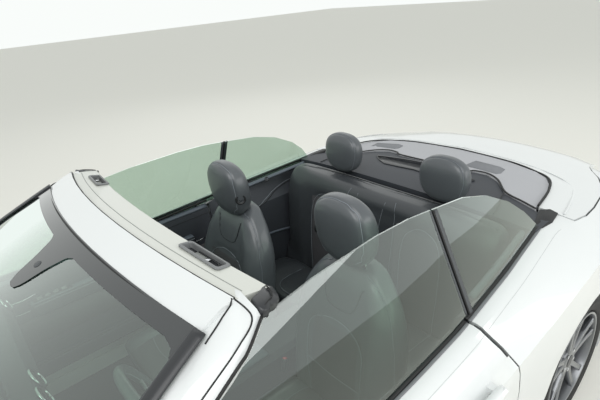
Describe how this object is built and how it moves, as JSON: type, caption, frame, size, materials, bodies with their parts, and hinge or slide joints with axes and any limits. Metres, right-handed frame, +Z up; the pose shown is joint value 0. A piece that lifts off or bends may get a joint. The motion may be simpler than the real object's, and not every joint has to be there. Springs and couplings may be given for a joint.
{
  "type": "convertible car",
  "caption": "Four-seat convertible car with the roof folded under a rear cover, opening doors, bonnet and boot lid, and wheels that steer and roll.",
  "frame": {"origin": "on the ground, midway along and across the car", "axes": "+X to the car's left, +Y to the rear, +Z up"},
  "size_m": [2.012, 4.6861, 1.356],
  "materials": {
    "body_paint": "white gloss clear-coated paint",
    "header_paint": "warm light grey paint on the roof's landing panel",
    "underbody": "black satin underbody coating",
    "glass_green": "green tinted safety glass",
    "lamp_clear": "clear lamp cover",
    "lamp_red": "red lamp cover",
    "black_plastic": "black grained plastic",
    "grey_cover": "grey textured cover panel",
    "charcoal_leather": "charcoal leather, stitched",
    "soft_trim": "charcoal soft-touch trim",
    "carpet": "charcoal loop carpet",
    "tyre": "black tyre rubber",
    "rim_silver": "silver painted alloy",
    "cast_iron": "raw cast iron",
    "steel": "plain steel",
    "engine": "cast alloy"
  },
  "bodies": {
    "car_body": {"body_shell": "underbody", "boot_floor": "underbody", "header_panel": "header_paint", "parcel_panel": "soft_trim", "sills": "body_paint", "front_fenders": "body_paint", "quarter_panels": "body_paint", "front_bumper": "body_paint", "rear_bumper": "body_paint", "grille": "black_plastic", "headlamps": "lamp_clear", "tail_lamps": "lamp_red", "cowl_panel": "black_plastic", "windscreen_frame": "body_paint", "windscreen": "glass_green", "roof_cover": "grey_cover", "quarter_windows": "glass_green", "dashboard": "soft_trim", "steering_column": "black_plastic", "centre_console": "soft_trim", "carpet": "carpet", "seat_bases": "black_plastic", "seat_cushions": "charcoal_leather", "seat_backs": "charcoal_leather", "front_headrests": "charcoal_leather", "rear_cushion": "charcoal_leather", "rear_backrest": "charcoal_leather", "rear_headrests": "charcoal_leather", "side_trims": "soft_trim", "engine_block": "engine", "exhaust": "steel", "front_subframe": "steel", "rear_axle": "steel", "cabin_mirror": "black_plastic"},
    "bonnet_lid": {"bonnet": "body_paint"},
    "boot_cover": {"boot_lid": "body_paint"},
    "steering": {"steering_wheel": "charcoal_leather"},
    "left_door": {"door_shell_left": "body_paint", "door_trim_left": "soft_trim", "door_glass_left": "glass_green"},
    "left_knuckle": {"front_knuckle_left": "cast_iron"},
    "front_left_wheel": {"front_tyre_left": "tyre", "front_rim_left": "rim_silver"},
    "rear_left_wheel": {"rear_tyre_left": "tyre", "rear_rim_left": "rim_silver"},
    "right_door": {"door_shell_right": "body_paint", "door_trim_right": "soft_trim", "door_glass_right": "glass_green"},
    "right_knuckle": {"front_knuckle_right": "cast_iron"},
    "front_right_wheel": {"front_tyre_right": "tyre", "front_rim_right": "rim_silver"},
    "rear_right_wheel": {"rear_tyre_right": "tyre", "rear_rim_right": "rim_silver"}
  },
  "joints": [
    {"name": "bonnet_hinge", "type": "hinge", "parent": "car_body", "child": "bonnet_lid", "pos_m": [0, -1.062, 1], "axis": [-1, 0, 0], "range_deg": [0, 50]},
    {"name": "boot_hinge", "type": "hinge", "parent": "car_body", "child": "boot_cover", "pos_m": [0, 1.335, 1.016], "axis": [1, 0, 0], "range_deg": [0, 70]},
    {"name": "left_door_hinge", "type": "hinge", "parent": "car_body", "child": "left_door", "pos_m": [0.893, -0.838, 0.6], "axis": [0, 0, -1], "range_deg": [0, 65]},
    {"name": "right_door_hinge", "type": "hinge", "parent": "car_body", "child": "right_door", "pos_m": [-0.893, -0.838, 0.6], "axis": [0, 0, 1], "range_deg": [0, 65]},
    {"name": "left_steer", "type": "hinge", "parent": "car_body", "child": "left_knuckle", "pos_m": [0.75, -1.553, 0.331], "axis": [0, 0, 1], "range_deg": [-35, 35]},
    {"name": "front_left_spin", "type": "hinge", "parent": "left_knuckle", "child": "front_left_wheel", "pos_m": [0.781, -1.553, 0.331], "axis": [1, 0, 0], "continuous": true},
    {"name": "rear_left_spin", "type": "hinge", "parent": "car_body", "child": "rear_left_wheel", "pos_m": [0.773, 1.287, 0.331], "axis": [1, 0, 0], "continuous": true},
    {"name": "right_steer", "type": "hinge", "parent": "car_body", "child": "right_knuckle", "pos_m": [-0.75, -1.553, 0.331], "axis": [0, 0, 1], "range_deg": [-35, 35]},
    {"name": "front_right_spin", "type": "hinge", "parent": "right_knuckle", "child": "front_right_wheel", "pos_m": [-0.781, -1.553, 0.331], "axis": [1, 0, 0], "continuous": true},
    {"name": "rear_right_spin", "type": "hinge", "parent": "car_body", "child": "rear_right_wheel", "pos_m": [-0.773, 1.287, 0.331], "axis": [1, 0, 0], "continuous": true},
    {"name": "steering_turn", "type": "hinge", "parent": "car_body", "child": "steering", "pos_m": [0.365, -0.262, 0.898], "axis": [0, 0.9063, 0.4226], "range_deg": [-490, 490]}
  ],
  "couplings": [
    {"joint": "right_steer", "follows": "left_steer", "ratio": 1},
    {"joint": "steering_turn", "follows": "left_steer", "ratio": 14}
  ]
}
